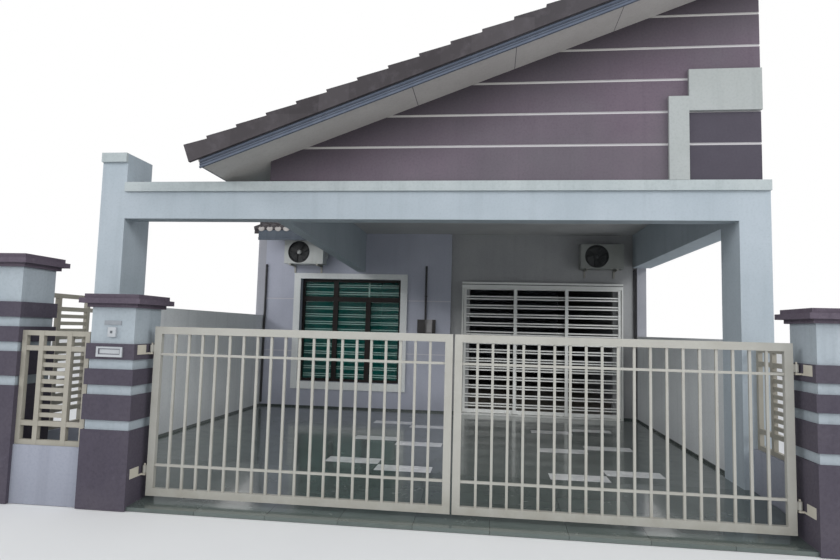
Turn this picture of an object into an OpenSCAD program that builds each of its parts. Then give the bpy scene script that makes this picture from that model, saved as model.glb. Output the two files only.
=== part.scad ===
// Single-storey terrace house with car porch and double swing gate.
// Front faces -Y, +Z up. Origin: ground level, midway between the party lines,
// in the plane of the porch columns' front faces.

/* [Plot] */
// Distance between the two party lines
plot_w = 6706; // [6000:10:7400]
// Thickness of outer and party walls
wall_t = 150; // [120:10:180]
// Depth of the house behind the porch
house_d = 12000; // [9000:100:14000]
// Height of the boundary wall on the left
yard_hl = 1713; // [1400:1:2000]
// Height of the boundary wall on the right
yard_hr = 1500; // [1300:10:1800]

/* [Porch] */
// Level of the porch floor above the ground at the gate
porch_z = 100; // [80:5:120]
// Depth of the porch from column front to house wall
porch_d = 4380; // [4200:10:4800]
// Width of a porch column
col_w = 295; // [250:5:330]
// Depth of a porch column
col_d = 470; // [350:10:550]
// Underside of the front beam
beam_z0 = 2658; // [2500:2:2750]
// Top of the beam face, where the coping starts
beam_z1 = 2955; // [2900:5:3000]
// Top of the coping
cope_z1 = 3058; // [3030:2:3100]
// Depth of the front beam from front to back
beam_d = 200; // [180:10:300]
// How far the left party column rises above the coping
head_up = 331; // [150:1:450]
// Underside of the porch ceiling
ceil_z = 3220; // [3150:10:3300]

/* [Roof] */
// Rise of the roofs per unit of run
pitch = 0.372; // [0.34:0.002:0.4]
// Gap between the coping and the low eave of the gable roof
eave_up = 34; // [20:1:60]
// Overhang of the gable in front of the gable wall
verge_o = 495; // [400:5:550]
// Height of the barge board
barge_h = 170; // [150:5:190]
// Thickness of the roof deck with its tiles, measured upright
deck_t = 120; // [90:5:150]
// Overhang of the main eaves
eave_o = 600; // [400:10:700]

/* [Gate] */
// Side of a square post's white core
post_w = 385; // [360:5:420]
// How far the coloured bands stand proud of the core
band_p = 22; // [15:1:30]
// Height of the posts up to the cap
post_h = 1640; // [1450:10:1850]
// Front face of the posts in front of the columns
post_y = 1410; // [1300:10:1600]
// Width of the fence panel between the two left posts
fence_w = 619; // [450:1:900]
// Gap between a post and its leaf
gate_gap = 58; // [50:1:70]
// Gap between the two leaves
leaf_gap = 16; // [14:1:30]
// Height of a leaf
leaf_h = 1410; // [1300:5:1450]
// Underside of a leaf above the ground
leaf_z0 = 80; // [75:1:95]
// Number of upright bars in a leaf
leaf_bars = 19; // [15:1:23]

/* [Openings] */
// Width of the window opening
win_w = 1830; // [1500:10:2050]
// Height of the window opening
win_h = 1835; // [1500:5:1900]
// Sill height of the window above the ground
win_z = 557; // [500:1:700]
// Width of the doorway
door_w = 2440; // [2100:10:2700]
// Height of the doorway's head above the ground
door_z1 = 2260; // [2100:5:2300]

/* [Hidden] */

e = 1;                                  // overlap used inside a single piece
hw = plot_w / 2;                        // party line
in_x = hw - wall_t / 2;                 // inner face of a party wall
out_x = hw + wall_t / 2;                // outer face of a party wall
wy0 = porch_d;                          // front face of the house wall
wy1 = wy0 + wall_t;
by1 = wy0 + house_d;                    // back face of the house
by0 = by1 - wall_t;
floor_z = porch_z + 50;                 // house floor
gx0 = -hw + 1792;                       // left edge of the gable wall
gt = 150;                               // gable wall thickness
door_set = 60;                          // door wall behind the window wall
spare = 2 * in_x - win_w - door_w;      // wall left over beside the window and the doorway
win_x0 = -in_x + round(0.2966 * spare); // left jamb of the window
step_x = win_x0 + win_w + round(0.3884 * spare);    // where the two front walls meet
door_x0 = step_x + round(0.1453 * spare);   // left jamb of the doorway
cols_x = [-hw, hw];
seat = 0.2;                             // bedding joint under a sloping roof piece

// posts: centres of party post, left gate post, right gate post
post_r = hw;
post_l = -hw + post_w + 2 * band_p + fence_w;
post_x = [-hw, post_l, post_r];
pcy = -post_y + post_w / 2;             // post centre in depth
gate_y = pcy;                           // plane of the leaves
tube = 62;                              // leaf frame tube, as seen from the front
tube_d = 40;
bar = 20;
leaf_l0 = post_l + post_w / 2 + band_p + gate_gap;
leaf_r1 = post_r - post_w / 2 - band_p - gate_gap;
leaf_w = (leaf_r1 - leaf_l0 - leaf_gap) / 2;
pin_r = 8;
pin_fit = 0.3;                          // running clearance of a pin in its eye
pin_x = gate_gap / 2;                   // pin centre from the post face
hinge_z = [leaf_z0 + 215, leaf_z0 + leaf_h - 185];

// roofs
lip = 100;                              // how far the tiles run past the eave boards
lip_t = 60;                             // thickness of the tiles there
deck0 = 92;                             // deck underside above the soffit underside
eave_gx = gx0 - 519;                    // left eave of the gable roof
function soff(x) = cope_z1 + eave_up + pitch * (x - eave_gx);    // soffit underside at x
eave_y = wy0 - eave_o;
eave_by = by1 + eave_o;
ridge_y = (eave_y + eave_by) / 2;
eave_z = 3110;                          // deck underside at the main eaves
function mdeck(y) = eave_z + pitch * (y - eave_y);
ridge_z = mdeck(ridge_y);

module at(x0, y0, z0, x1, y1, z1) { translate([x0, y0, z0]) cube([x1 - x0, y1 - y0, z1 - z0]); }
// outline in x,z pushed along y from y0 to y1
module xz(y0, y1) { translate([0, y1, 0]) rotate([90, 0, 0]) linear_extrude(y1 - y0) children(); }
// outline in y,z pushed along x from x0 to x1
module yz(x0, x1) { translate([x0, 0, 0]) rotate([90, 0, 90]) linear_extrude(x1 - x0) children(); }

dy0 = wy0 + door_set;                   // front face of the door wall
dy1 = dy0 + wall_t;                     // inner face of the front walls
wall_top = mdeck(wy0);
ramp_z = 30;                            // porch floor at the gate posts' front
lw_h = 480;                             // low walls beside the gate
lw_t = 110;
lw_y = -post_y + 10;                    // front of the low wall between the left posts
band_z = [[0, 635], [715, 920], [1000, 1130], [1210, 1340]] * post_h / 1640;
main_top = [[eave_y, 0], [eave_y, eave_z + deck_t], [ridge_y, ridge_z + deck_t], [ridge_y, 0]];
pb = post_w / 2 + band_p;               // half width of a post at a band
low_back = pcy + pb;                    // back of the posts

module porch_floor() color("#3d4742") difference() {
    union() {
        yz(-in_x, in_x) polygon([[-post_y, 0], [wy0, 0], [wy0, porch_z], [0, porch_z], [-post_y, ramp_z]]);
        at(step_x, wy0 - e, 0, in_x, dy0, porch_z);
    }
    for (x = cols_x) at(x - col_w / 2, 0, -e, x + col_w / 2, col_d, 200);
    for (x = post_x) at(x - pb, pcy - pb, -e, x + pb, pcy + pb, 200);
    at(-hw, -post_y - e, -e, post_l, lw_y + lw_t, 200);
    for (s = [-1, 1]) at(s * hw - lw_t / 2, low_back - e, -e, s * hw + lw_t / 2, e, 200);
}
module house_floor() color("#8d8a84") {
    at(-in_x, dy1, 0, in_x, by0, floor_z);
    at(door_x0, dy0, 0, door_x0 + door_w, dy1 + e, floor_z);
}
nose = 35;                              // how far a coping stands proud
cope_h = cope_z1 - beam_z1;
// the left column carries the end of a higher terrace step, so it rises past the beam
module columns() color("#b9c2cf") {
    at(-hw - col_w / 2, 0, 0, -hw + col_w / 2, col_d, cope_z1 + head_up);
    at(hw - col_w / 2, 0, 0, hw + col_w / 2, col_d, beam_z0);
}
module front_beam() color("#b9c2cf") at(-hw + col_w / 2, 0, beam_z0, hw + col_w / 2, beam_d, beam_z1);
module beam_coping() color("#c9cbcf") {
    at(-hw + col_w / 2, -nose, beam_z1, hw + col_w / 2, beam_d, cope_z1);
    at(-hw - col_w / 2, -nose, cope_z1 + head_up - cope_h, -hw + col_w / 2, 0, cope_z1 + head_up);
}
mid_w = 140;                            // width of the middle beam
mid_z = beam_z0 - 133;                  // its underside at the house wall
// beams from the front beam back to the house
module deep_beams() color("#aeb7c4") {
    at(hw - col_w / 2, beam_d, beam_z0, hw + col_w / 2, wy0, ceil_z + 50);
    // the middle one deepens towards the house
    difference() {
        xz(beam_d, wy0) polygon([[gx0, mid_z], [gx0 + mid_w, mid_z],
            [gx0 + mid_w, soff(gx0 + mid_w) + deck0 - seat], [gx0, soff(gx0) + deck0 - seat]]);
        yz(gx0 - e, gx0 + mid_w + e) polygon([[beam_d - e, mid_z - e], [wy0, mid_z - e], [wy0, mid_z],
            [beam_d - e, beam_z0 + 20]]);
    }
}
module porch_ceiling() color("#b4b3b4") {
    at(gx0 + mid_w, gt, ceil_z, hw - col_w / 2, wy0, ceil_z + 50);
    at(step_x, wy0 - e, ceil_z, hw - col_w / 2, dy0, ceil_z + 50);
}
gable_line0 = 369;                      // lowest plaster groove above the coping
gable_lines = [for (i = [0 : 4]) cope_z1 + gable_line0 + i * 333];
groove_h = 18;
groove_d = 8;
module gable_wall() color("#84778a") difference() {
    xz(0, gt) polygon([[gx0, cope_z1], [out_x, cope_z1], [out_x, soff(hw) + deck0 - seat - pitch * wall_t / 2],
        [hw, soff(hw) + deck0 - seat], [gx0, soff(gx0) + deck0 - seat]]);
    for (z = gable_lines) at(gx0 - e, -e, z - groove_h / 2, out_x + e, groove_d, z + groove_h / 2);
}
// raised frame round the panel that straddles the party line, drawn up to the party wall's face
fr_x = [hw - 806, hw - 614, hw - 612];
module gable_frame() color("#cfcfd2") xz(-40, 0) polygon([[fr_x[0], cope_z1], [fr_x[1], cope_z1],
    [fr_x[1], cope_z1 + 700], [out_x, cope_z1 + 700], [out_x, cope_z1 + 1122], [fr_x[2], cope_z1 + 1122],
    [fr_x[2], cope_z1 + 849], [fr_x[0], cope_z1 + 849]]);
// roof plate above a gable line, between two heights over the soffit
module gplate(x0, a, b, y0, y1) xz(y0, y1) polygon([[x0, soff(x0) + a], [hw, soff(hw) + a],
    [out_x, soff(hw) + a - pitch * wall_t / 2], [out_x, soff(hw) + b - pitch * wall_t / 2],
    [hw, soff(hw) + b], [x0, soff(x0) + b]]);
gable_end = round(eave_y + (soff(hw) + deck0 - eave_z) / pitch);  // where the gable meets the main slope
module gable_deck() color("#4a4548") difference() {
    union() {
        gplate(eave_gx, deck0, deck0 + deck_t, -verge_o, gable_end);
        gplate(eave_gx - lip, deck0 + deck_t - lip_t, deck0 + deck_t, -verge_o, gable_end);
    }
    yz(-out_x - e, out_x + e) polygon(main_top);
}
module gable_ridge() color("#454043") difference() {
    union() {
    ridge_end();
    xz(-verge_o - 60, gable_end + 200) polygon([[hw - 150, soff(hw - 150) + cap_t + seat],
        [hw, soff(hw) + cap_t + seat], [out_x, soff(hw) + cap_t + seat - pitch * wall_t / 2],
        [out_x, soff(hw) + cap_t + 15], [hw, soff(hw) + cap_t + 60], [hw - 150, soff(hw - 150) + cap_t + 30]]);
    }
    yz(-out_x - e, out_x + e) polygon(main_top);
}
module ridge_end() xz(-verge_o - 60, -verge_o - 25) polygon([[hw - 150, soff(hw - 150) + cap_low],
    [hw, soff(hw) + cap_low], [out_x, soff(hw) + cap_low - pitch * wall_t / 2], [out_x, soff(hw) + cap_t],
    [hw, soff(hw) + cap_t], [hw - 150, soff(hw - 150) + cap_t]]);
// two grooves run along the barge board
module gable_barge() color("#5d6675") difference() {
    gplate(eave_gx - 20, -10, barge_h - 10, -verge_o - 25, -verge_o);
    for (z = [16, 46]) gplate(eave_gx - 21, z - 5, z + 5, -verge_o - 26, -verge_o - 17);
}
cap_p = 302;                            // pitch of the verge tiles, level
cap_x0 = eave_gx - 117;
cap_first = 234;                        // the lowest tile is cut shorter
cap_x1 = hw - 150;
cap_low = 78;                           // lower edge of a verge tile above the soffit
cap_t = deck0 + deck_t;                 // top of the deck above the soffit
// point at height h over the soffit on a line square to the slope, from the tile's lower edge at x
function vp(x, h) = let (d = (h - cap_low) / (1 + pitch * pitch)) [x - pitch * d, soff(x) + cap_low + d];
// stepped line along the tops of the tiles, each lower end riding on the tile below
verge_steps = [for (i = [0 : floor((cap_x1 - cap_x0 - cap_first) / cap_p) + 1], k = [0, 1])
    vp(max(cap_x0, min(cap_x0 + cap_first + (i + k - 1) * cap_p, cap_x1)), cap_t + (k == 0 ? 65 : 35))];
// tile strip from height h up to the stepped line
module verge_strip(h, y0, y1) xz(y0, y1)
    polygon(concat([vp(cap_x0, h)], verge_steps, [vp(cap_x1, h)]));
module gable_verge_caps() color("#454043") {
    verge_strip(cap_low, -verge_o - 60, -verge_o - 25);
    verge_strip(cap_t + seat, -verge_o - 25 - e, -verge_o + 110);
}
module gable_soffit() color("#a5a3a5") {
    gplate(gx0, 0, 12, -verge_o, 0);
    xz(-verge_o, eave_y) polygon([[eave_gx, soff(eave_gx)], [gx0, soff(gx0)],
        [gx0, soff(gx0) + 12], [eave_gx, soff(eave_gx) + 12]]);
}
module gable_eave_board() color("#5d6675") at(eave_gx - 20, -verge_o, soff(eave_gx), eave_gx, eave_y - board_t,
    soff(eave_gx) + deck0 - 10);
module main_roof_front() color("#4a4548") difference() {
    yz(-out_x, out_x) polygon([[eave_y, eave_z], [ridge_y, ridge_z], [ridge_y, ridge_z + deck_t],
        [eave_y, eave_z + deck_t]]);
    at(gx0, eave_y - e, 0, out_x + e, wy0, ridge_z);
    at(-out_x - e, eave_y - e, 0, -in_x, wy0, ridge_z);
}
module main_roof_back() color("#4a4548") yz(-out_x, out_x) polygon([[eave_by, eave_z], [ridge_y, ridge_z],
    [ridge_y, ridge_z + deck_t], [eave_by, eave_z + deck_t]]);
ridge_r = 150;                          // half width of the ridge tiles
ridge_t = 30;                           // thickness of a ridge tile at its edge
ridge_up = 60;                          // top of the ridge tiles above the deck
module main_ridge() color("#454043") let (rz = ridge_z + deck_t, d = ridge_r * pitch)
    yz(-out_x, out_x) polygon([[ridge_y - ridge_r, rz - d], [ridge_y, rz], [ridge_y + ridge_r, rz - d],
        [ridge_y + ridge_r, rz + ridge_t - d], [ridge_y, rz + ridge_up], [ridge_y - ridge_r, rz + ridge_t - d]]);
board_t = 22;                           // thickness of the eave boards
board_h = 170;                          // height of the eave boards
board_z = eave_z + deck_t / 2;          // top of the eave boards
// board with a lip along its lower edge, drawn for a face at y = 0 that looks to -y
module eave_board(x0, x1) yz(x0, x1) polygon([[0, board_z], [0, board_z - board_h], [-board_t - 10, board_z - board_h],
    [-board_t - 10, board_z - board_h + 40], [-board_t, board_z - board_h + 46], [-board_t, board_z]]);
module eave_boards() color("#5d6675") {
    translate([0, eave_y, 0]) eave_board(-in_x + 85, eave_gx - 20);
    translate([0, eave_by, 0]) mirror([0, 1, 0]) eave_board(-out_x, out_x);
}
module window_wall() color("#a9a6b8") difference() {
    at(-in_x, wy0, 0, step_x, dy1, wall_top);
    at(win_x0, wy0 - e, win_z, win_x0 + win_w, dy1 + e, win_z + win_h);
    for (f = [0.2905, 0.7995]) let (z = win_z + f * win_h)
        at(-in_x - e, wy0 - e, z - groove_h / 2, step_x + e, wy0 + groove_d, z + groove_h / 2);
}
module door_wall_left() color("#a8a8a9") at(step_x, dy0, 0, door_x0, dy1, wall_top);
module door_wall_right() color("#a8a8a9") at(door_x0 + door_w, dy0, 0, in_x, dy1, wall_top);
module door_lintel() color("#a8a8a9") at(door_x0, dy0, door_z1, door_x0 + door_w, dy1, wall_top);
module back_wall() color("#a9a6b8") at(-in_x, by0, 0, in_x, by1, eave_z + pitch * eave_o);
module party_walls() color("#b3b2b6") {
    for (s = [-1, 1]) yz(s * hw - wall_t / 2, s * hw + wall_t / 2) polygon([[wy0, 0], [by1, 0],
        [by1, eave_z + pitch * eave_o], [ridge_y, ridge_z], [wy0, wall_top]]);
    difference() {
        at(in_x, gt, ceil_z + 50, out_x, gable_end, ridge_z + deck_t);
        gplate(in_x - 100, deck0 - seat, ridge_z, 0, gable_end + e);
        yz(in_x - e, out_x + e) polygon([[wy0, 0], [wy0, mdeck(wy0) + deck_t], [ridge_y, ridge_z + deck_t],
            [ridge_y, 0]]);
    }
}
module boundary_walls() color("#a4a9b5") {
    at(-out_x, col_d, 0, -in_x, wy0, yard_hl);
    at(in_x, col_d, 0, out_x, wy0, yard_hr);
}

module square_ring(c, r, z0, z1, core) difference() {
    at(c[0] - r, c[1] - r, z0, c[0] + r, c[1] + r, z1);
    at(c[0] - core, c[1] - core, z0 - e, c[0] + core, c[1] + core, z1 + e);
}
post_up = [head_up, 0, 0];              // the left party post stands on the higher step too
module post_cores() color("#c3cad6") for (i = [0 : 2]) let (x = post_x[i])
    at(x - post_w / 2, pcy - post_w / 2, 0, x + post_w / 2, pcy + post_w / 2, post_h + post_up[i]);
module post_bands() color("#56505f") for (i = [0 : 2], b = band_z)
    square_ring([post_x[i], pcy], pb, b[0] > 0 ? b[0] + post_up[i] : 0, b[1] + post_up[i], post_w / 2);
// half profile of a post's cap: distance past the band, height above the post
cap_steps = [[8, 0], [8, 32], [55, 32], [55, 75], [26, 75], [26, 110]];
module cap_profile() polygon(concat([for (q = cap_steps) [pb + q[0], q[1]]],
    [for (i = [len(cap_steps) - 1 : -1 : 0]) [-pb - cap_steps[i][0], cap_steps[i][1]]]));
module post_caps() color("#6a5d6c") for (i = [0 : 2]) translate([post_x[i], pcy, post_h + post_up[i]]) intersection() {
    xz(-post_w, post_w) cap_profile();
    yz(-post_w, post_w) cap_profile();
}
fence_y0 = low_back;
fence_zl = 1431;                        // top of the fence panel between the left posts
side_z = [1780, 1430];                  // tops of the fence panels on the left and right party lines
module low_walls() color("#b4bcc9") {
    at(-hw + pb, lw_y, 0, post_l - pb, lw_y + lw_t, lw_h);
    for (s = [-1, 1]) at(s * hw - lw_t / 2, fence_y0, 0, s * hw + lw_t / 2, 0, lw_h);
}
// fence panel w wide between two heights: frame, two uprights, a rail near each end, slats in the middle bay
bay = [0.285, 0.7];                     // middles of the uprights
fr = 42;                                // width of frame, uprights and rails
slat_p = 70;                            // pitch of the slats
module fence_panel(w, z0, z1, t = 40) let (a = z0 + fr / 2 + 156, b = z1 - fr / 2 - 127, n = round((b - a) / slat_p)) {
    for (x = [0, bay[0] * w - fr / 2, bay[1] * w - fr / 2, w - fr]) at(x, 0, z0, x + fr, t, z1);
    for (z = [z0, a - fr / 2, b - fr / 2, z1 - fr]) at(fr - e, 2, z, w - fr + e, t - 2, z + fr);
    for (i = [1 : n - 1]) let (z = a + (b - a) * i / n)
        at(bay[0] * w, t / 4, z - 18, bay[1] * w, 3 * t / 4, z + 18);
}
module infill_grilles() color("#c4c0b2") {
    translate([-hw + pb, lw_y + 12, 0]) fence_panel(fence_w, lw_h, fence_zl);
    for (s = [-1, 1]) translate([s * hw + 20, fence_y0, 0]) rotate([0, 0, 90])
        fence_panel(-fence_y0, lw_h, side_z[s < 0 ? 0 : 1]);
}
module window_surround() color("#c9c9cc") difference() {
    at(win_x0 - 117, wy0 - 30, win_z - 131, win_x0 + win_w + 120, wy0, win_z + win_h + 97);
    at(win_x0, wy0 - 31, win_z, win_x0 + win_w, wy0 + e, win_z + win_h);
}
wf = 50;                                // window frame width
win_y = wy0 + 120;                      // front of the window frame in its reveal
wm = 88;                                // width of a mullion or transom with the sashes beside it
win_tr = 1478;                          // transom above the sill
win_m = [623, 1226];                    // mullions from the left jamb
win_cells = concat([[wf, win_m[0] - wm / 2, win_tr + wm / 2, win_h - wf],
    [win_m[0] + wm / 2, win_w - wf, win_tr + wm / 2, win_h - wf]],
    [for (c = [[wf, win_m[0] - wm / 2], [win_m[0] + wm / 2, win_m[1] - wm / 2], [win_m[1] + wm / 2, win_w - wf]])
        [c[0], c[1], wf, win_tr - wm / 2]]);
module window_frame() color("#2a2322") translate([win_x0, win_y, win_z]) difference() {
    cube([win_w, 60, win_h]);
    for (c = win_cells) at(c[0], -e, c[2], c[1], 61, c[3]);
}
module window_glass() color("#2c6d66") translate([win_x0, win_y + 26, win_z])
    for (c = win_cells) at(c[0], 0, c[2], c[1], 6, c[3]);
wg_p = 134.6;                           // pitch of the pairs of bars behind the glass
module window_grille() color("#c3c8c6") translate([win_x0, win_y + 68, win_z]) {
    for (x = [0, win_m[0] - 15, win_m[1] - 15, win_w - 30]) at(x, 0, 0, x + 30, 12, win_h);
    for (i = [0 : floor((win_h - 120) / wg_p)], d = [-19, 19]) let (z = 108 + i * wg_p + d)
        at(e, 2, z - 9, win_w - e, 10, z + 9);
}

// sliding grille door: header and sill tracks with three planes
gr_x0 = door_x0 - 128;
gr_x1 = door_x0 + door_w + 140;
gr_d = 150;
gr_post = 24;                           // width of the outer frame posts
gr_gap = 5;                             // play between a frame post and a closed panel
gr_top = door_z1 + 113;
gr_lane = [dy0 - 33, dy0 - 75, dy0 - 117];  // centres of the three lanes, back to front
pan_t = 28;
pan_z0 = porch_z + 30;
pan_z1 = gr_top - 95;
pan_lap = 60;
pan_w = round((gr_x1 - gr_x0 - 2 * (gr_post + gr_gap) + 2 * pan_lap) / 3);
pan_step = pan_w - pan_lap;
module grille_track() color("#b9b9b7") {
    at(gr_x0, dy0 - gr_d, porch_z, gr_x0 + gr_post, dy0, gr_top);
    at(gr_x1 - gr_post, dy0 - gr_d, porch_z, gr_x1, dy0, gr_top);
    at(gr_x0 + gr_post - e, dy0 - gr_d, porch_z, gr_x1 - gr_post + e, dy0, porch_z + 22);
    difference() {
        at(gr_x0 + gr_post - e, dy0 - gr_d, pan_z1 - 12, gr_x1 - gr_post + e, dy0, gr_top);
        for (y = gr_lane) at(gr_x0 + gr_post, y - pan_t / 2 - 6, pan_z1 - 13, gr_x1 - gr_post, y + pan_t / 2 + 6,
            pan_z1 + 20);
    }
}
module panel(k) translate([gr_x0 + gr_post + gr_gap + k * pan_step, gr_lane[k] - pan_t / 2, 0]) {
    at(0, 0, pan_z0, 45, pan_t, pan_z1);
    at(pan_w - 45, 0, pan_z0, pan_w, pan_t, pan_z1);
    at(45 - e, 0, pan_z0, pan_w - 45 + e, pan_t, pan_z0 + 60);
    at(45 - e, 0, pan_z1 - 31, pan_w - 45 + e, pan_t, pan_z1);
    for (x = [90, pan_w - 150]) at(x, 4, porch_z + 22 + 0.3, x + 60, pan_t - 4, pan_z0 + e);
    for (i = [0 : 12], d = [-22, 22]) let (z = pan_z0 + 60 + 75 + i * (pan_z1 - pan_z0 - 100 - 75) / 12.85 + d)
        at(45 - e, 8, z - 11, pan_w - 45 + e, 20, z + 11);
}
module panel_left() color("#b4b5b3") panel(0);
module panel_middle() color("#b4b5b3") panel(1);
module panel_right() color("#b4b5b3") panel(2);

ac_w = 700; ac_h = 410; ac_d = 260;
fan_x = 262;                            // middle of the fan from the unit's left side
fan_r = 195;                            // radius of the fan opening
fan_d = 60;                             // depth of the fan opening
// left edge, wall face, underside
ac_at = [[-hw + 530, wy0, win_z + win_h + 238], [hw - 1045, dy0, min(gr_top + 244, ceil_z - ac_h - 60)]];
module ac_units() color("#d6d8d6") for (a = ac_at) translate([a[0], a[1] - 60 - ac_d, a[2]]) difference() {
    union() {
        cube([ac_w, ac_d, ac_h]);
        translate([ac_w - 40, ac_d - 90, 120]) cube([70, 70, 150]);
    }
    translate([fan_x, -e, ac_h / 2]) rotate([-90, 0, 0]) cylinder(r = fan_r, h = fan_d, $fn = 64);
}
module ac_brackets() color("#8a8a86") for (a = ac_at, x = [90, ac_w - 120]) translate([a[0] + x, a[1], a[2]]) {
    at(0, -60 - ac_d, -30, 30, 0, 0);
    at(0, -20, -140, 30, 0, -30 + e);
}
mb_x = step_x - round(0.547 * (step_x - win_x0 - win_w - 128)); // middle of the meter board
mb_w = 320;
mb_z = 1462;                            // underside of the meter board
mb_h = 238;
pipe_r = 18;                            // conduit radius
pipe_z = 2640;                          // top of the conduits
pipe_z0 = porch_z + 65;
// middle of a conduit, wall face, lower end, heights of its saddles
pipes = [[-in_x + 26, wy0, pipe_z0, [pipe_z - 40, pipe_z / 2]], [in_x - 32, dy0, pipe_z0, [pipe_z - 40, pipe_z / 2]],
    [mb_x - 20, wy0, mb_z + mb_h, [pipe_z - 540]]];
module conduits() color("#2b2b2e") for (c = pipes) {
    translate([c[0], c[1] - pipe_r - 4, c[2]]) cylinder(r = pipe_r, h = pipe_z - c[2], $fn = 24);
    for (z = c[3]) at(c[0] - 24, c[1] - 8, z, c[0] + 24, c[1], z + 20);
}
skirt_h = 30;                           // height of the dark strip at the foot of the walls
module skirting() color("#3a403f") {
    at(-in_x, col_d, porch_z, -in_x + 12, wy0 - 12, porch_z + skirt_h);
    at(in_x - 12, col_d, porch_z, in_x, dy0, porch_z + skirt_h);
    at(-in_x, wy0 - 12, porch_z, step_x, wy0, porch_z + skirt_h);
    at(step_x, dy0 - 12, porch_z, gr_x0, dy0, porch_z + skirt_h);
    at(gr_x1, dy0 - 12, porch_z, in_x - 12, dy0, porch_z + skirt_h);
}
// board with a meter on the left and a cut-out on the right
module meter_box() color("#4a4642") translate([mb_x, wy0, mb_z]) {
    at(-mb_w / 2, -20, 0, mb_w / 2, 0, mb_h);
    at(-mb_w / 2 + 20, -85, 20, -10, -20 + e, mb_h - 10);
    at(10, -70, 20, mb_w / 2 - 30, -20 + e, mb_h - 60);
}
// letter box on the top band, number plate and bell push above it
module post_fittings() color("#b9bcc0") translate([post_l, pcy, 0]) {
    let (z = (band_z[3][0] + band_z[3][1]) / 2 - 3) difference() {
        at(-115, -pb - 14, z - 42, 115, -pb, z + 42);
        at(-92, -pb - 15, z - 18, 92, -pb - 6, z + 24);
    }
    at(-75, -pb + band_p - 6, post_h - 145, 75, -pb + band_p, post_h - 110);
    at(-31, -pb + band_p - 22, post_h - 245, 39, -pb + band_p, post_h - 165);
}

// hinge bracket on a post's inner face: plate in front of the leaf, strap, arm and pin, drawn for a face at x = 0
plate_t = 4;                            // thin enough for the open leaf to pass
module bracket(h) translate([0, gate_y, h]) {
    at(0, -170, -52, plate_t, -50, 28);
    at(0, -50 - e, -52, plate_t, 12, -38);
    at(plate_t - e, -12, -52, pin_x + 14, 12, -38);
    translate([pin_x, 0, -45]) cylinder(r = pin_r, h = 90, $fn = 32);
}
module hinge_brackets() color("#bdb9a9") for (h = hinge_z) {
    translate([post_l + pb, 0, 0]) bracket(h);
    translate([post_r - pb, 0, 0]) mirror([1, 0, 0]) bracket(h);
}
// a leaf drawn with its pin at x = 0, reaching to +x
stile = gate_gap - pin_x;
module leaf() {
    translate([stile, gate_y - tube_d / 2, leaf_z0]) {
        at(0, 0, 0, tube, tube_d, leaf_h);
        at(leaf_w - tube, 0, 0, leaf_w, tube_d, leaf_h);
        at(tube - e, 0, 0, leaf_w - tube + e, tube_d, tube);
        at(tube - e, 0, leaf_h - tube, leaf_w - tube + e, tube_d, leaf_h);
        for (i = [1 : leaf_bars]) let (x = tube + (leaf_w - 2 * tube) * i / (leaf_bars + 1))
            at(x - bar / 2, 10, tube - e, x + bar / 2, 30, leaf_h - tube + e);
        for (z = [252, leaf_h - 234]) at(tube - e, 10, z - bar / 2, leaf_w - tube + e, 30, z + bar / 2);
    }
    for (h = hinge_z) translate([0, gate_y, h]) difference() {
        union() {
            translate([0, 0, -32]) cylinder(r = 17, h = 60, $fn = 32);
            at(0, -9, -32, stile + e, 9, 28);
        }
        translate([0, 0, -33]) cylinder(r = pin_r + pin_fit, h = 62, $fn = 32);
    }
}
module leaf_left() color("#c6c1b2") translate([post_l + pb + pin_x, 0, 0]) leaf();
module leaf_right() color("#c6c1b2") translate([post_r - pb - pin_x, 0, 0]) mirror([1, 0, 0]) leaf();

porch_floor();
house_floor();
columns();
front_beam();
beam_coping();
deep_beams();
porch_ceiling();
gable_wall();
gable_frame();
gable_deck();
gable_ridge();
gable_barge();
gable_verge_caps();
gable_soffit();
gable_eave_board();
main_roof_front();
main_roof_back();
main_ridge();
eave_boards();
window_wall();
door_wall_left();
door_wall_right();
door_lintel();
back_wall();
party_walls();
boundary_walls();
post_cores();
post_bands();
post_caps();
low_walls();
infill_grilles();
window_surround();
window_frame();
window_glass();
window_grille();
grille_track();
ac_units();
ac_brackets();
conduits();
skirting();
meter_box();
post_fittings();
hinge_brackets();
leaf_left();
leaf_right();
panel_left();
panel_middle();
panel_right();
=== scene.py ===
import bpy, bmesh, math
from mathutils import Matrix, Vector


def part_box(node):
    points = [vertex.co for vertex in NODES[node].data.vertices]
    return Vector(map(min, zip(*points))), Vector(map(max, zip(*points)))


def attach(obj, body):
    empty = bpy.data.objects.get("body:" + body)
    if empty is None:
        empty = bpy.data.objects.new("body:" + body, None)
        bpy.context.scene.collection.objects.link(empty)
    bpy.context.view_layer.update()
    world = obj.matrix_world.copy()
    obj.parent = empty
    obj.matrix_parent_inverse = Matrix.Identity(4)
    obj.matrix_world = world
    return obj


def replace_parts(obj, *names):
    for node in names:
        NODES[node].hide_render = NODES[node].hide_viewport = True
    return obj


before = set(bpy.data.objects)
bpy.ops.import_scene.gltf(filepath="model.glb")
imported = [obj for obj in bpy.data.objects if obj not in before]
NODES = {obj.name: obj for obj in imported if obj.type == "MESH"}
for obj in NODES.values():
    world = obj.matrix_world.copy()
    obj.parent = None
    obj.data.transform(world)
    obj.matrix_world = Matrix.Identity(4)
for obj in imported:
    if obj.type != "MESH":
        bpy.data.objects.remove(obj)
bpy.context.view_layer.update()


# the part's own sizes that the looks follow, in metres
PITCH = 0.372                   # rise of the roofs for one metre of run
SLOPE = math.hypot(1.0, PITCH)  # length up the slope for one metre of run
WALL = 0.15                     # thickness of the walls

# where the photograph was taken from; the turns are to the right, up and anticlockwise, in degrees
CAMERA_AT = (0.8085, -6.05, 1.519)
CAMERA_TURN = (-6.789, 4.783, 1.479)
LENS = 25.51                    # focal length in mm
SENSOR = 36.0                   # width in mm

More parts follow.
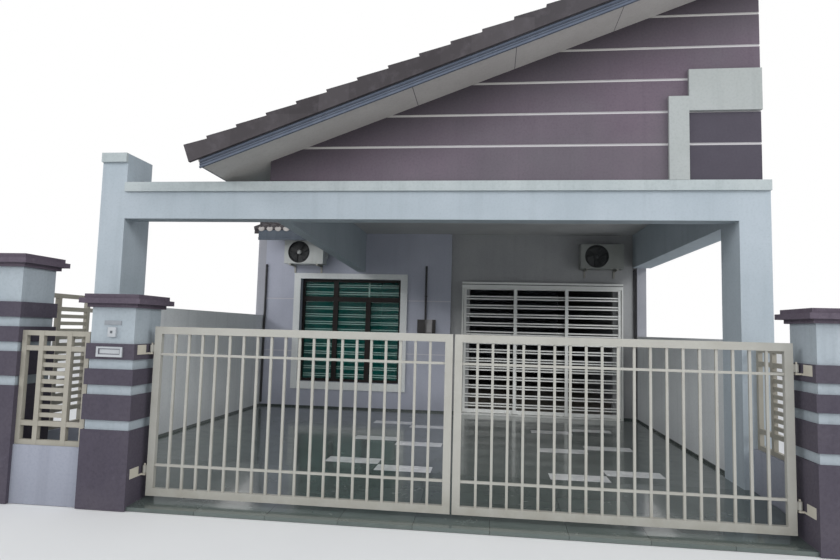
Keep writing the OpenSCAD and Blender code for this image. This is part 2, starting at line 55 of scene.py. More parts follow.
# name, place, width, height, watts, and if it shows in gloss
LAMPS = (
    ("sky_front", (-2.0, -12.0, 12.0), 12.0, 10.0, 30.0, True),
    ("sky_street", (-1.0, -19.0, 7.2), 26.0, 3.0, 930.0, True),
    ("sky_right", (14.0, -8.5, 9.0), 10.0, 3.4, 1020.0, False),
    ("sky_left", (-15.0, -7.5, 9.0), 10.0, 3.4, 760.0, False),
)
LAMPS_FACE = Vector((0, 2.0, 1.5))  # all lamps look here
SKY_COLOUR = (0.95, 0.97, 1.0, 1)
SKY_LEVEL = 0.65


# camera, light and floor
def show(name, data):
    """Put data into the scene as an object."""
    ob = bpy.data.objects.new(name, data)
    bpy.context.scene.collection.objects.link(ob)
    return ob


def aim_camera():
    cam = bpy.data.cameras.new("camera")
    cam.lens = LENS
    cam.sensor_width = SENSOR
    cam.clip_end = 300.0
    ob = show("camera", cam)
    yaw, tilt, roll = (math.radians(a) for a in CAMERA_TURN)
    ahead = Vector((math.sin(yaw) * math.cos(tilt), math.cos(yaw) * math.cos(tilt), math.sin(tilt)))
    level = Vector((math.cos(yaw), -math.sin(yaw), 0.0))
    above = level.cross(ahead)
    right = level * math.cos(roll) + above * math.sin(roll)
    up = above * math.cos(roll) - level * math.sin(roll)
    ob.matrix_world = Matrix.Translation(CAMERA_AT) @ Matrix((right, up, -ahead)).transposed().to_4x4()
    bpy.context.scene.camera = ob


def light_sky():
    """A dim sky that lights the house and a white one that camera, gloss and glass see."""
    world = bpy.data.worlds.new("studio")
    bpy.context.scene.world = world
    world.use_nodes = True
    t = world.node_tree
    t.nodes.clear()
    path = t.nodes.new("ShaderNodeLightPath")
    seen = path.outputs["Is Camera Ray"]
    for ray in ("Is Glossy Ray", "Is Transmission Ray"):
        either = t.nodes.new("ShaderNodeMath")
        either.operation = "MAXIMUM"
        t.links.new(seen, either.inputs[0])
        t.links.new(path.outputs[ray], either.inputs[1])
        seen = either.outputs[0]
    pick = t.nodes.new("ShaderNodeMixShader")
    t.links.new(seen, pick.inputs[0])
    for k, colour, level in ((1, SKY_COLOUR, SKY_LEVEL), (2, (1, 1, 1, 1), 1.0)):
        sky = t.nodes.new("ShaderNodeBackground")
        sky.inputs["Color"].default_value = colour
        sky.inputs["Strength"].default_value = level
        t.links.new(sky.outputs[0], pick.inputs[k])
    out = t.nodes.new("ShaderNodeOutputWorld")
    t.links.new(pick.outputs[0], out.inputs[0])


def light_studio():
    light_sky()
    for name, where, wide, tall, power, in_gloss in LAMPS:
        lamp = bpy.data.lights.new(name, "AREA")
        lamp.shape = "RECTANGLE"
        lamp.size = wide
        lamp.size_y = tall
        lamp.energy = power
        ob = show(name, lamp)
        ob.location = where
        ob.visible_glossy = in_gloss
        ob.rotation_euler = (Vector(where) - LAMPS_FACE).to_track_quat("Z", "Y").to_euler()
    bpy.context.scene.view_settings.view_transform = "Standard"


def add_mesh(name, verts, faces):
    me = bpy.data.meshes.new(name)
    me.from_pydata([tuple(v) for v in verts], [], faces)
    me.update()
    return show(name, me)


def lay_floor():
    half, top = 70.0, -0.004
    corners = [(-half, -half, top), (half, -half, top), (half, half, top), (-half, half, top)]
    ob = add_mesh("floor", corners, [(0, 1, 2, 3)])
    f = Finish("pale_floor", 0.9)
    f.colour(f.mix(f.noise(0.8, 4), "#e2e3e4", "#e9eaea"))
    ob.data.materials.append(f.mat)


# finishes
def lin(tone):
    """Linear colour of a tone written as #rrggbb."""
    c = [int(tone[i:i + 2], 16) / 255 for i in (1, 3, 5)]
    c = [v / 12.92 if v <= 0.04045 else ((v + 0.055) / 1.055) ** 2.4 for v in c]
    return (*c, 1.0)


class Finish:
    """A procedural finish. Its methods add nodes; those that make a pattern or a colour give back
    its output, and colour, rough, bump and groove put it on the material."""

    def __init__(self, name, rough=0.7, metal=0.0, spec=0.5, coat=0.0, coat_rough=0.1):
        self.name = name
        self.mat = bpy.data.materials.new(name)
        self.mat.use_nodes = True
        self.t = self.mat.node_tree
        self.p = self.t.nodes["Principled BSDF"]
        for key, v in (("Roughness", rough), ("Metallic", metal), ("Specular IOR Level", spec),
                       ("Coat Weight", coat), ("Coat Roughness", coat_rough)):
            self.p.inputs[key].default_value = v
        self.at = self.t.nodes.new("ShaderNodeTexCoord").outputs["Object"]
        self.xyz = None

    def put(self, socket, v):
        """Set a socket to a number or a tone, or link another socket to it."""
        if isinstance(v, bpy.types.NodeSocket):
            self.t.links.new(v, socket)
        elif isinstance(v, str):
            socket.default_value = lin(v)
        elif v is not None:
            socket.default_value = v

    def math(self, op, a, b=None):
        n = self.t.nodes.new("ShaderNodeMath")
        n.operation = op
        self.put(n.inputs[0], a)
        self.put(n.inputs[1], b)
        return n.outputs[0]

    def axis(self, k):
        """Object coordinate: 0 for x, 1 for y, 2 for z."""
        if self.xyz is None:
            self.xyz = self.t.nodes.new("ShaderNodeSeparateXYZ")
            self.put(self.xyz.inputs[0], self.at)
        return self.xyz.outputs[k]

    def vector(self, x, y, z):
        n = self.t.nodes.new("ShaderNodeCombineXYZ")
        for i, v in enumerate((x, y, z)):
            self.put(n.inputs[i], v)
        return n.outputs[0]

    def stretched(self, sx, sy, sz):
        """Object coordinates scaled, for streaks."""
        n = self.t.nodes.new("ShaderNodeMapping")
        self.put(n.inputs["Vector"], self.at)
        n.inputs["Scale"].default_value = (sx, sy, sz)
        return n.outputs[0]

    def noise(self, scale, detail=3.0, rough=0.55, at=None, warp=0.0):
        n = self.t.nodes.new("ShaderNodeTexNoise")
        self.put(n.inputs["Vector"], at if at is not None else self.at)
        for key, v in (("Scale", scale), ("Detail", detail), ("Roughness", rough), ("Distortion", warp)):
            n.inputs[key].default_value = v
        return n.outputs["Fac"]

    def cells(self, at):
        """One random value for each whole-numbered place."""
        n = self.t.nodes.new("ShaderNodeTexWhiteNoise")
        n.noise_dimensions = "3D"
        self.put(n.inputs["Vector"], at)
        return n.outputs["Value"]

    def span(self, v, a, b, lo=0.0, hi=1.0, smooth=False):
        """From lo to hi while v goes from a to b."""
        n = self.t.nodes.new("ShaderNodeMapRange")
        n.clamp = True
        if smooth:
            n.interpolation_type = "SMOOTHSTEP"
        self.put(n.inputs["Value"], v)
        for key, x in (("From Min", a), ("From Max", b), ("To Min", lo), ("To Max", hi)):
            n.inputs[key].default_value = x
        return n.outputs["Result"]

    def mix(self, share, a, b):
        """Colour a, with a share of colour b."""
        n = self.t.nodes.new("ShaderNodeMix")
        n.data_type = "RGBA"
        self.put(n.inputs[0], share)
        self.put(n.inputs[6], a)
        self.put(n.inputs[7], b)
        return n.outputs[2]

    def colour(self, c):
        self.put(self.p.inputs["Base Color"], c)

    def rough(self, v):
        self.put(self.p.inputs["Roughness"], v)

    def bump(self, height, far, strength=1.0):
        n = self.t.nodes.new("ShaderNodeBump")
        n.inputs["Strength"].default_value = strength
        n.inputs["Distance"].default_value = far
        old = self.p.inputs["Normal"]
        if old.is_linked:
            self.put(n.inputs["Normal"], old.links[0].from_socket)
        self.put(n.inputs["Height"], height)
        self.put(old, n.outputs[0])

    def near(self, v, centre, half):
        """1 where v is within half of centre, else 0."""
        return self.math("LESS_THAN", self.math("ABSOLUTE", self.math("SUBTRACT", v, centre)), half)

    def cell(self, v, pitch, start=0.0):
        """Whole number of the course that v falls in."""
        return self.math("FLOOR", self.math("DIVIDE", self.math("SUBTRACT", v, start), pitch))

    def joint(self, v, pitch, start, half):
        """1 on the joint lines that repeat every pitch from start."""
        away = self.math("PINGPONG", self.math("SUBTRACT", v, start), pitch / 2)
        return self.math("LESS_THAN", away, half)

    def both(self, a, b):
        return self.math("MULTIPLY", a, b)

    def either(self, a, b):
        return self.math("MAXIMUM", a, b)

    def patches(self, pattern, a, b, most):
        """Soft patches where the pattern goes from a to b, at most this strong."""
        return self.both(self.span(pattern, a, b), most)

    def streaks(self, across, along, rough=0.65, warp=0.0):
        """Upright streaks, such as rain leaves."""
        return self.noise(1.0, 6, rough, self.stretched(across, across, along), warp)

    def groove(self, line, deep):
        """Sink the surface where line is 1."""
        self.bump(self.math("SUBTRACT", 1.0, line), deep)


def plaster(name, tone, light, dark, runs=0.25, grain=0.0010, foot=None):
    """Painted render: broad patches, a sandy grain, rain runs and splashes up from the foot."""
    f = Finish(name, 0.88)
    broad, sand = f.noise(1.1, 5, 0.6), f.noise(45, 3)
    c = f.mix(f.span(broad, 0.38, 0.68), tone, light)
    c = f.mix(f.patches(sand, 0.48, 0.78, 0.22), c, dark)
    rain = f.streaks(7, 0.5, rough=0.62, warp=0.4)
    c = f.mix(f.patches(rain, 0.52, 0.82, runs), c, dark)
    if foot is not None:
        wet = f.span(f.axis(2), foot, foot + 0.55, 1.0, 0.0, True)
        c = f.mix(f.both(wet, f.span(broad, 0.3, 0.75, 0.15, 0.75)), c, dark)
    f.shade = c
    f.colour(c)
    f.rough(f.span(sand, 0.3, 0.7, 0.78, 0.95))
    f.bump(f.noise(210, 4, 0.7), grain, 0.7)
    f.bump(f.noise(9, 3), 0.003, 0.35)
    return f


def enamel(name, tone, wear, rough=0.42, metal=0.0, rust=0.0):
    """Painted or bare metal with brush marks, dulled patches and a little rust."""
    f = Finish(name, rough, metal)
    patch, fine = f.noise(5, 5, 0.6), f.noise(90, 4)
    c = f.mix(f.patches(patch, 0.45, 0.8, 0.55), tone, wear)
    c = f.mix(f.patches(fine, 0.55, 0.8, 0.3), c, wear)
    if rust:
        c = f.mix(f.patches(f.noise(14, 8, 0.75, warp=0.6), 0.66, 0.74, rust), c, "#6b4630")
    f.shade = c
    f.colour(c)
    f.rough(f.span(patch, 0.3, 0.8, rough - 0.06, rough + 0.16))
    f.bump(fine, 0.00025, 0.5)
    return f


# finishes of the house
def finish_frame_paint():
    return plaster("frame_paint", "#a7b2ba", "#b2bcc4", "#868f97", 0.3)


def finish_coping():
    return plaster("coping_paint", "#acb5b7", "#b9c1c2", "#828a8e", 0.4)


def finish_gable():
    """Grey-mauve render with painted shade under the eave, with white lines that cross its darker panel
    too.
    """
    lowest_line, line_pitch, line_half = 3.427, 0.333, 0.0115
    panel_left, panel_middle, panel_half = 2.739, 3.408, 0.35
    soffit_at_middle, shade_deep = 3.866, 0.74
    f = plaster("gable_paint", "#655965", "#6f646f", "#4c424e", 0.3)
    x, z = f.axis(0), f.axis(2)
    lines = f.near(z, lowest_line, line_half)
    for k in range(1, 5):
        lines = f.either(lines, f.near(z, lowest_line + line_pitch * k, line_half))
    panel = f.both(f.math("GREATER_THAN", x, panel_left), f.near(z, panel_middle, panel_half))
    c = f.mix(f.patches(f.noise(0.8, 4), 0.4, 0.65, 0.45), f.shade, "#626266")
    c = f.mix(panel, c, f.mix(f.noise(4), "#47434d", "#504c56"))
    # painted shade under the eave overhang: the wall and its white lines darken the nearer they lie
    # below the soffit
    below_eave = f.math("SUBTRACT", f.math("ADD", f.both(x, PITCH), soffit_at_middle), z)
    shade = f.span(below_eave, 0.0, shade_deep, 0.85, 0.0, True)
    c = f.mix(shade, c, "#353036")
    f.colour(f.mix(lines, c, f.mix(shade, "#c4c2c4", "#a8a6a2")))
    return f


def finish_white_trim():
    return plaster("white_trim", "#a5aaa9", "#afb4b4", "#7e8385", 0.32)


def finish_surround():
    return plaster("surround_white", "#e2e5e4", "#eaecec", "#b3b7b8", 0.2)


def finish_soffit():
    """Boards a metre long; the photographed joints start half a metre left of the middle."""
    first, board, start = 0.022, 1.0, -0.5
    f = plaster("soffit_board", "#b7b3b0", "#c1beba", "#8e8a86", 0.16, 0.0004)
    x = f.axis(0)
    seam = f.both(f.joint(x, board, first, 0.004), f.math("GREATER_THAN", x, start))
    f.colour(f.mix(seam, f.shade, "#6d6a6d"))
    return f


def finish_ceiling():
    first, board = 0.75, 1.2
    f = plaster("ceiling_paint", "#bdbdbe", "#c8c8c8", "#9a9a9b", 0.06, 0.0003)
    f.colour(f.mix(f.joint(f.axis(1), board, first, 0.003), f.shade, "#97979a"))
    return f


def finish_window_wall():
    """Lavender render with two pale grooves on its front."""
    low_groove, high_groove, half, front_y = 1.090, 2.024, 0.0088, 4.40
    f = plaster("lavender_wall", "#b1b4c2", "#bbbecb", "#8f929f", 0.2, foot=0.1)
    z = f.axis(2)
    grooves = f.either(f.near(z, low_groove, half), f.near(z, high_groove, half))
    front = f.math("LESS_THAN", f.axis(1), front_y)
    f.colour(f.mix(f.both(grooves, front), f.shade, "#cfced4"))
    return f


def finish_grey_wall():
    return plaster("grey_wall", "#9fa0a2", "#aaabac", "#7f8083", 0.2, foot=0.1)


def finish_party():
    return plaster("party_wall", "#a3a4ac", "#afb0b7", "#828389", 0.35, foot=0.0)


def finish_yard():
    return plaster("yard_wall", "#d9dcde", "#e1e4e5", "#abafb2", 0.35, foot=0.0)


def finish_low_wall():
    return plaster("low_wall_paint", "#9a9eab", "#a6a9b5", "#787c87", 0.4, foot=0.0)


def finish_house_floor():
    side = 0.4
    f = Finish("house_floor", 0.35, coat=0.2)
    x, y = f.axis(0), f.axis(1)
    tile = f.cells(f.vector(f.cell(x, side), f.cell(y, side), 0.5))
    c = f.mix(f.noise(3, 6, 0.65), f.mix(tile, "#a8a196", "#b3aca0"), "#958d81")
    seam = f.either(f.joint(x, side, 0.0, 0.002), f.joint(y, side, 0.0, 0.002))
    f.colour(f.mix(seam, c, "#5e5850"))
    f.groove(seam, 0.0015)
    return f


def finish_porch_floor():
    """Dark glazed tiles with white inlays in two pairs of columns."""
    wide, deep, edge_x, edge_y = 0.585, 0.2686, -0.925, -0.0063
    even_row, odd_row = 0.128, 0.3965
    inlays = ((-0.6325, odd_row), (-0.0475, even_row), (1.7075, even_row), (2.2925, odd_row))
    inlays_middle, inlays_half = 1.62, 1.70
    f = Finish("floor_tile", 0.16, spec=0.5, coat=0.5, coat_rough=0.08)
    x, y = f.axis(0), f.axis(1)
    tile = f.cells(f.vector(f.cell(x, wide, edge_x), f.cell(y, deep, edge_y), 0.5))
    cloud = f.noise(5, 7, 0.65)
    c = f.mix(tile, "#535d5a", "#616b68")
    c = f.mix(f.patches(cloud, 0.4, 0.8, 0.6), c, "#68716e")
    boxes = []
    for middle, first in inlays:
        row = f.math("PINGPONG", f.math("SUBTRACT", y, first), deep * 2.5)
        in_row = f.math("LESS_THAN", row, deep / 2 - 0.006)
        boxes.append(f.both(f.near(x, middle, wide / 2 - 0.004), in_row))
    white = boxes[0]
    for box in boxes[1:]:
        white = f.either(white, box)
    white = f.both(white, f.near(y, inlays_middle, inlays_half))
    marble = f.mix(f.span(f.noise(4, 8, 0.7, warp=1.2), 0.45, 0.6), "#ffffff", "#eceeee")
    dust = f.patches(f.noise(1.4, 6, 0.7), 0.5, 0.85, 0.3)
    c = f.mix(white, f.mix(dust, c, "#77786f"), marble)
    seam = f.either(f.joint(x, wide, edge_x, 0.0018), f.joint(y, deep, edge_y, 0.0018))
    f.colour(f.mix(seam, c, "#202624"))
    f.rough(f.span(cloud, 0.3, 0.8, 0.12, 0.34))
    f.groove(seam, 0.0012)
    return f


def finish_roof_tile():
    """Dark grey-brown clay with a random tone for each tile, lichen, and paler towards the right."""
    f = Finish("roof_tile", 0.8)
    x, y, z = f.axis(0), f.axis(1), f.axis(2)
    tile = f.cells(f.vector(f.cell(x, 2 * ROLL), f.cell(y, 0.30), f.cell(z, 0.9)))
    c = f.mix(tile, "#363235", "#464245")
    c = f.mix(f.patches(f.noise(7, 7, 0.7), 0.5, 0.8, 0.5), c, "#645f65")
    c = f.mix(f.patches(f.noise(17, 8, 0.75, warp=0.5), 0.6, 0.72, 0.5), c, "#302c30")
    f.colour(f.mix(f.patches(x, 0.5, 3.4, 0.35), c, "#6a686e"))
    f.bump(f.noise(120, 4, 0.7), 0.0012, 0.7)
    return f


def finish_barge():
    """Blue-grey board with two grooves along it and a painted shadow along its top, under the verge
    tiles.
    """
    low_groove, high_groove, top_shadow_from = 0.047, 0.083, 0.101
    f = enamel("barge_paint", "#4f5868", "#5d6675", 0.5)
    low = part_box("gable_barge")[0]
    level = f.math("SUBTRACT", f.axis(2), f.both(f.axis(0), PITCH))
    level = f.math("SUBTRACT", level, low.z - PITCH * low.x)
    c = f.mix(f.patches(f.streaks(9, 0.8), 0.5, 0.8, 0.3), f.shade, "#7b8391")
    line = f.either(f.near(level, low_groove, 0.003), f.near(level, high_groove, 0.003))
    c = f.mix(line, c, "#262a34")
    # painted shadow: the board's top strip goes near-black under the verge tiles
    f.colour(f.mix(f.math("GREATER_THAN", level, top_shadow_from), c, "#16141a"))
    f.groove(line, 0.002)
    return f


def finish_fascia():
    f = enamel("fascia_paint", "#424b56", "#515a66", 0.5)
    grain = f.noise(2, 6, 0.7, f.stretched(1.5, 40, 40))
    c = f.mix(f.both(grain, 0.2), f.shade, "#363e48")
    f.colour(f.mix(f.patches(f.streaks(9, 0.8), 0.5, 0.8, 0.4), c, "#6a727d"))
    f.bump(grain, 0.0006, 0.5)
    return f


def finish_post_white():
    return plaster("post_white", "#a0aab1", "#adb6bd", "#798189", 0.45, 0.0008, foot=0.0)


def finish_post_band():
    f = plaster("post_band", "#494450", "#555059", "#36313b", 0.35, 0.0008)
    chalk = f.patches(f.noise(6, 8, 0.75), 0.58, 0.78, 0.35)
    f.colour(f.mix(chalk, f.shade, "#77727f"))
    return f


def finish_post_cap():
    f = plaster("post_cap", "#564d59", "#645b67", "#39313c", 0.5, 0.0012)
    lichen = f.patches(f.noise(11, 8, 0.8, warp=0.4), 0.56, 0.7, 0.45)
    f.colour(f.mix(lichen, f.shade, "#7f7880"))
    return f


def finish_grille_cream():
    return enamel("grille_cream", "#9f9b90", "#8b877b", 0.45, rust=0.35)


def finish_gate_cream():
    """Cream gloss paint with grime that gathers low on the leaf and rust at the joints."""
    f = enamel("gate_cream", "#adaca5", "#9b988f", 0.38, rust=0.4)
    low = f.span(f.axis(2), 0.08, 0.42, 1.0, 0.0, True)
    grime = f.both(low, f.span(f.noise(8, 6, 0.7), 0.35, 0.7, 0.05, 0.35))
    f.colour(f.mix(grime, f.shade, "#857e6e"))
    return f


def finish_bronze():
    f = enamel("bronze_frame", "#150b0a", "#241513", 0.4)
    f.p.inputs["Specular IOR Level"].default_value = 0.3
    return f


def finish_glass():
    f = Finish("teal_glass", 0.06, spec=0.3, coat=0.12, coat_rough=0.05)
    f.p.inputs["Alpha"].default_value = 0.2
    haze = f.span(f.noise(3, 5, 0.6), 0.45, 0.8)
    f.colour(f.mix(haze, "#17786f", "#248b81"))
    f.rough(f.span(f.noise(30, 5), 0.5, 0.8, 0.03, 0.12))
    return f


def finish_bar_white():
    return enamel("bar_white", "#dff5ee", "#c9e2da", 0.42)


def finish_track():
    """White rail with a dark line along its front."""
    line_z, front_y = 2.332, 4.32
    f = enamel("track_white", "#dfe0dd", "#cbccc8", 0.42, rust=0.15)
    seam = f.both(f.near(f.axis(2), line_z, 0.007), f.math("LESS_THAN", f.axis(1), front_y))
    f.colour(f.mix(seam, f.shade, "#4d4f50"))
    return f


def finish_panel():
    return enamel("panel_white", "#eeefec", "#d9dad7", 0.42, rust=0.2)


def finish_ac():
    """Off-white case with rain runs; the right unit is painted a darker grey as painted shade."""
    f = enamel("ac_white", "#c0c3c1", "#aeb1ae", 0.4)
    c = f.mix(f.patches(f.streaks(14, 1.2), 0.5, 0.8, 0.35), f.shade, "#9b9b92")
    # painted shade: the unit right of the middle is darkened
    right_unit_shade = f.both(f.math("GREATER_THAN", f.axis(0), 0.0), 0.75)
    f.colour(f.mix(right_unit_shade, c, "#6d706b"))
    return f


def finish_bracket():
    return enamel("bracket_steel", "#9b9a94", "#83817a", 0.45, 0.6, rust=0.6)


def finish_hinge():
    return enamel("hinge_cream", "#c4bfb2", "#a9a293", 0.42, rust=0.8)


def finish_pvc():
    f = Finish("dark_pvc", 0.5)
    f.colour(f.mix(f.span(f.noise(12, 5), 0.4, 0.8), "#2a2a2d", "#3c3c3f"))
    f.bump(f.noise(60, 3), 0.0003, 0.4)
    return f


def finish_skirting():
    length, edge_x = 0.2925, -0.925
    f = Finish("skirting_tile", 0.22, coat=0.3)
    c = f.mix(f.noise(6, 6, 0.7), "#343b3a", "#454d4b")
    seam = f.either(f.joint(f.axis(0), length, edge_x, 0.0015), f.joint(f.axis(1), length, 0.0, 0.0015))
    f.colour(f.mix(seam, c, "#6d716f"))
    f.groove(seam, 0.001)
    return f


def finish_meter():
    """Dark case with a pale part; the places are shares of its width."""
    pale_middle, pale_half, gaps, gap_half = 0.64, 0.19, (0.45, 0.83), 0.012
    f = Finish("meter_dark", 0.4)
    c = f.mix(f.span(f.noise(9, 6, 0.7), 0.4, 0.8), "#1a1617", "#2c2627")
    low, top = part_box("meter_box")
    share = f.span(f.axis(0), low.x, top.x)
    c = f.mix(f.near(share, pale_middle, pale_half), c, f.mix(f.noise(9, 5), "#8d8a8c", "#a7a4a5"))
    dark_gaps = f.either(f.near(share, gaps[0], gap_half), f.near(share, gaps[1], gap_half))
    f.colour(f.mix(dark_gaps, c, "#120f10"))
    f.bump(f.noise(80, 4), 0.0004, 0.5)
    return f


def finish_plate():
    """Letter box with a dark line round its flap, a plain number plate and a bell push."""
    middle_x, middle_z = 0.115, 0.045
    flap_wide, flap_tall, line = 0.088, 0.017, 0.008
    plate_low, bell_z, bell_half = -0.037, -0.095, 0.011
    f = enamel("plate_grey", "#b8bcc0", "#9da1a6", 0.36, 0.35)
    low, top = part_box("post_fittings")
    x = f.math("ABSOLUTE", f.math("SUBTRACT", f.axis(0), low.x + middle_x))
    z = f.math("ABSOLUTE", f.math("SUBTRACT", f.axis(2), low.z + middle_z))
    outer = f.both(f.math("LESS_THAN", x, flap_wide + line), f.math("LESS_THAN", z, flap_tall + line))
    flap = f.both(f.math("LESS_THAN", x, flap_wide), f.math("LESS_THAN", z, flap_tall))
    c = f.mix(f.math("SUBTRACT", outer, flap), f.shade, "#6f7078")
    level = f.math("SUBTRACT", f.axis(2), top.z)
    plate = f.math("GREATER_THAN", level, plate_low)
    c = f.mix(plate, c, f.mix(f.noise(30, 4), "#868b91", "#9a9fa5"))
    bell = f.both(f.near(level, bell_z, bell_half), f.math("LESS_THAN", x, bell_half))
    f.colour(f.mix(bell, c, "#5d6166"))
    return f


def finish_mortar():
    return plaster("eave_mortar", "#b9b4b1", "#c8c4c0", "#8c8683", 0.3, 0.0008)


def finish_guard_wire():
    return enamel("guard_wire", "#4c4e4e", "#6a6b69", 0.45, rust=0.3)


def finish_fan_black():
    f = Finish("fan_black", 0.5)
    f.colour(f.mix(f.span(f.noise(20, 5), 0.4, 0.8), "#232527", "#3a3c3d"))
    f.bump(f.noise(70, 3), 0.0004, 0.4)
    return f


FINISHES = {
    finish_porch_floor: ("porch_floor",),
    finish_house_floor: ("house_floor",),
    finish_frame_paint: ("columns", "front_beam", "deep_beams"),
    finish_coping: ("beam_coping",),
    finish_ceiling: ("porch_ceiling",),
    finish_gable: ("gable_wall",),
    finish_white_trim: ("gable_frame",),
    finish_surround: ("window_surround",),
    finish_soffit: ("gable_soffit",),
    finish_roof_tile: ("gable_deck", "gable_ridge", "gable_verge_caps",
                       "main_roof_front", "main_roof_back", "main_ridge"),
    finish_barge: ("gable_barge",),
    finish_fascia: ("gable_eave_board", "eave_boards"),
    finish_window_wall: ("window_wall", "back_wall"),
    finish_grey_wall: ("door_wall_left", "door_wall_right", "door_lintel"),
    finish_party: ("party_walls",),
    finish_yard: ("boundary_walls",),
    finish_low_wall: ("low_walls",),
    finish_post_white: ("post_cores",),
    finish_post_band: ("post_bands",),
    finish_post_cap: ("post_caps",),
    finish_grille_cream: ("infill_grilles",),
    finish_bronze: ("window_frame",),
    finish_glass: ("window_glass",),
    finish_bar_white: ("window_grille",),
    finish_track: ("grille_track",),
    finish_panel: ("panel_left", "panel_middle", "panel_right"),
    finish_ac: ("ac_units",),
    finish_bracket: ("ac_brackets",),
    finish_hinge: ("hinge_brackets",),
    finish_pvc: ("conduits",),
    finish_skirting: ("skirting",),
    finish_meter: ("meter_box",),
    finish_plate: ("post_fittings",),
    finish_gate_cream: ("leaf_left", "leaf_right"),
}


def dress_nodes():
    """Give every CAD node its finish; return the materials by their slot's name."""
    made = {}
    for make, nodes in FINISHES.items():
        f = make()
        mat = made[f.name] = f.mat
        for node in nodes:
            slots = NODES[node].data.materials
            slots.clear()
            slots.append(mat)
    return made


# what repeats is laid by small Geometry Nodes trees
class Pattern:
    """A Geometry Nodes tree with named sizes. add() puts in a node and gives back its first output."""

    def __init__(self, name, **sizes):
        self.t = bpy.data.node_groups.new(name, "GeometryNodeTree")
        face = self.t.interface
        face.new_socket("Geometry", in_out="INPUT", socket_type="NodeSocketGeometry")
        self.keys = {}
        for key, v in sizes.items():
            kind = "NodeSocketInt" if isinstance(v, int) else "NodeSocketFloat"
            self.keys[key] = (face.new_socket(key, in_out="INPUT", socket_type=kind).identifier, v)
        face.new_socket("Geometry", in_out="OUTPUT", socket_type="NodeSocketGeometry")
        self.source = self.t.nodes.new("NodeGroupInput")
        self.end = self.t.nodes.new("NodeGroupOutput")

    def size(self, key):
        return self.source.outputs[key]

    def put(self, socket, v):
        """Set a socket to a value, or link another socket to it."""
        if isinstance(v, bpy.types.NodeSocket):
            self.t.links.new(v, socket)
        else:
            socket.default_value = v

    def add(self, kind, *values, **props):
        n = self.t.nodes.new(kind)
        for key, v in props.items():
            setattr(n, key, v)
        for k, v in values:
            self.put(n.inputs[k], v)
        return n.outputs[0]

    def calc(self, op, a, b=0.0):
        return self.add("ShaderNodeMath", (0, a), (1, b), operation=op)

    def xyz(self, x=0.0, y=0.0, z=0.0):
        return self.add("ShaderNodeCombineXYZ", (0, x), (1, y), (2, z))

    def finish(self, geometry, mat):
        real = self.add("GeometryNodeRealizeInstances", (0, geometry))
        done = self.add("GeometryNodeSetMaterial", (0, real), ("Material", mat))
        self.t.links.new(done, self.end.inputs[0])

    def lay(self, name, seed, **sizes):
        """Run the tree on the seed mesh and give back the result as a plain mesh object."""
        mod = seed.modifiers.new("lay", "NODES")
        mod.node_group = self.t
        for key, (ident, v) in self.keys.items():
            mod[ident] = sizes.get(key, v)
        bpy.context.view_layer.update()
        ready = seed.evaluated_get(bpy.context.evaluated_depsgraph_get())
        me = bpy.data.meshes.new_from_object(ready)
        seed.modifiers.remove(mod)
        me.name = name
        return show(name, me)


def drop(ob):
    bpy.data.objects.remove(ob, do_unlink=True)


def grid_pattern(name, mat, pitch, course):
    """Copies of the seed in rows and columns, from the origin to +x and +y."""
    g = Pattern(name, Columns=2, Rows=1, Pitch=pitch, Course=course)
    wide = g.calc("MULTIPLY", g.calc("SUBTRACT", g.size("Columns"), 1.0), g.size("Pitch"))
    deep = g.calc("MULTIPLY", g.calc("SUBTRACT", g.size("Rows"), 1.0), g.size("Course"))
    grid = g.add("GeometryNodeMeshGrid", (0, wide), (1, deep),
                 (2, g.size("Columns")), (3, g.size("Rows")))
    shift = g.xyz(g.calc("DIVIDE", wide, 2.0), g.calc("DIVIDE", deep, 2.0))
    moved = g.add("GeometryNodeSetPosition", (0, grid), ("Offset", shift))
    points = g.add("GeometryNodeMeshToPoints", (0, moved))
    copies = g.add("GeometryNodeInstanceOnPoints", ("Points", points), ("Instance", g.source.outputs[0]))
    g.finish(copies, mat)
    return g


# roof tiles: a double-roll tile is laid in courses up each slope
ROLL = 0.148            # width of one roll with its pan
ROUND = 0.74            # share of that width that is round
COURSE = 0.32           # from one course to the next, up the slope
TILE_RISE = 0.045       # height of a roll
TILE_LAP = 0.014        # how much a tile's low end lies on the course below
DROP = 0.043            # how much lower the plate under the tiles is
TILES_LEFT = -3.4948    # left edge of the main roof's first tiles
CREST_HALF = 0.03       # the tiles end this far from the main ridge
RIDGE_HALF = 0.1        # and this far from the gable's ridge
BACK_OVER = 0.028       # the back tiles end this far past the eave's edge
EAVE_ROWS = 3           # courses over the front eave, before the house wall
PLUG_OUT = 0.026        # the plugs stand this far out from the front and gable eaves
PLUG_OUT_BACK = 0.016   # and this far from the back eave


def roll_height(u):
    """Height of the tile's back across its width: a round roll, then a flat pan."""
    t = (u / ROLL) % 1.0
    if t >= ROUND:
        return 0.0
    return TILE_RISE * math.sin(math.pi * min(1.0, t / ROUND)) ** 1.2


def tile_seed():
    """One closed tile with two rolls; +x across, +y up the slope, thicker at its low end."""
    us = [2 * ROLL * k / 12 for k in range(13)]
    verts, faces = [], []
    for v, lift in ((-0.02, TILE_LAP), (COURSE, 0.0)):
        verts += [(u, v, roll_height(u) + lift + 0.001) for u in us]
        verts += [(u, v, -0.004) for u in us]
    n = len(us)
    for k in range(n - 1):
        top, under, far_top, far_under = k, n + k, 2 * n + k, 3 * n + k
        faces += [(top, top + 1, far_top + 1, far_top), (under, far_under, far_under + 1, under + 1)]
        faces += [(top, under, under + 1, top + 1), (far_top, far_top + 1, far_under + 1, far_under)]
    faces += [(0, 2 * n, 3 * n, n), (n - 1, 2 * n - 1, 4 * n - 1, 3 * n - 1)]
    return add_mesh("tile_seed", verts, faces)


